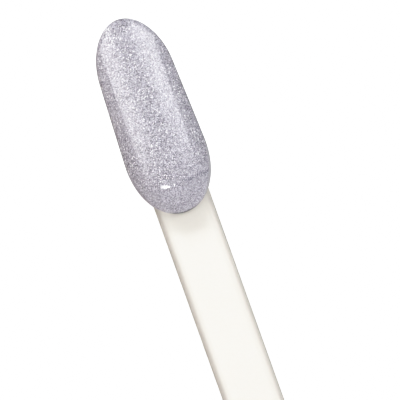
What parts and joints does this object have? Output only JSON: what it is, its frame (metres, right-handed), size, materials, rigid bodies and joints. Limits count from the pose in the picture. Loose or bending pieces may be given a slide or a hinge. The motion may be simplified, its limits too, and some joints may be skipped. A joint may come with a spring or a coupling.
{
  "type": "nail colour display stick",
  "caption": "Arched oval display nail coated with silver glitter gel under clear gloss, bonded to a flat milky plastic handle with round edges and a hanging hole.",
  "frame": {"origin": "under the middle of the whole stick, on the surface that its back lies on", "axes": "+Z out of the nail's face, +Y along the handle towards the nail's free edge, +X across"},
  "size_m": [0.013, 0.12, 0.0056],
  "materials": {
    "handle_plastic": "satin, milky and slightly translucent",
    "nail_plastic": "smooth, milky",
    "glue": "cured adhesive, hazy",
    "base_gel": "cured gel, gloss",
    "first_glitter_gel": "silver glitter in cured gel",
    "glitter_gel": "silver glitter in cured gel",
    "clear_gel": "clear gloss"
  },
  "bodies": {
    "root": {"handle": "handle_plastic", "nail_tip": "nail_plastic", "tip_glue": "glue", "base_coat": "base_gel", "first_colour_coat": "first_glitter_gel", "second_colour_coat": "glitter_gel", "top_coat": "clear_gel"}
  },
  "joints": []
}
